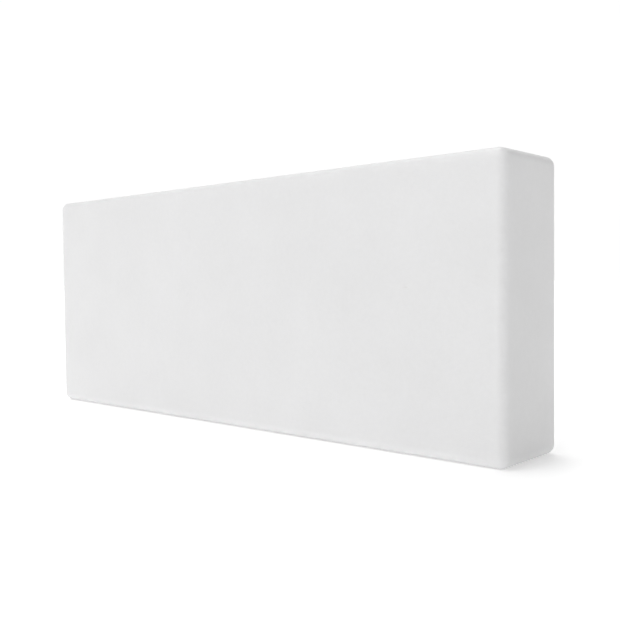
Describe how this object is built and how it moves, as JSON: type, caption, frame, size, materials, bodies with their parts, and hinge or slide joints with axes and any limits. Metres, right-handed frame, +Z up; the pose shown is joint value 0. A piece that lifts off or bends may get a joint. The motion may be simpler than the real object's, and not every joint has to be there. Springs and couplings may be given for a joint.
{
  "type": "gymnastics chalk block",
  "caption": "Plain flat bar of pressed magnesium carbonate with softly rounded edges, rubbed on the hands for a dry grip in gymnastics and cheerleading.",
  "frame": {"origin": "middle of the long narrow face that the bar stands on", "axes": "+Z up, along the bar's height; +X along its length; +Y through its thickness, from one broad face to the other"},
  "size_m": [0.126, 0.018, 0.05],
  "materials": {
    "pressed_chalk": "matte"
  },
  "bodies": {
    "root": {"chalk_block": "pressed_chalk"}
  },
  "joints": []
}
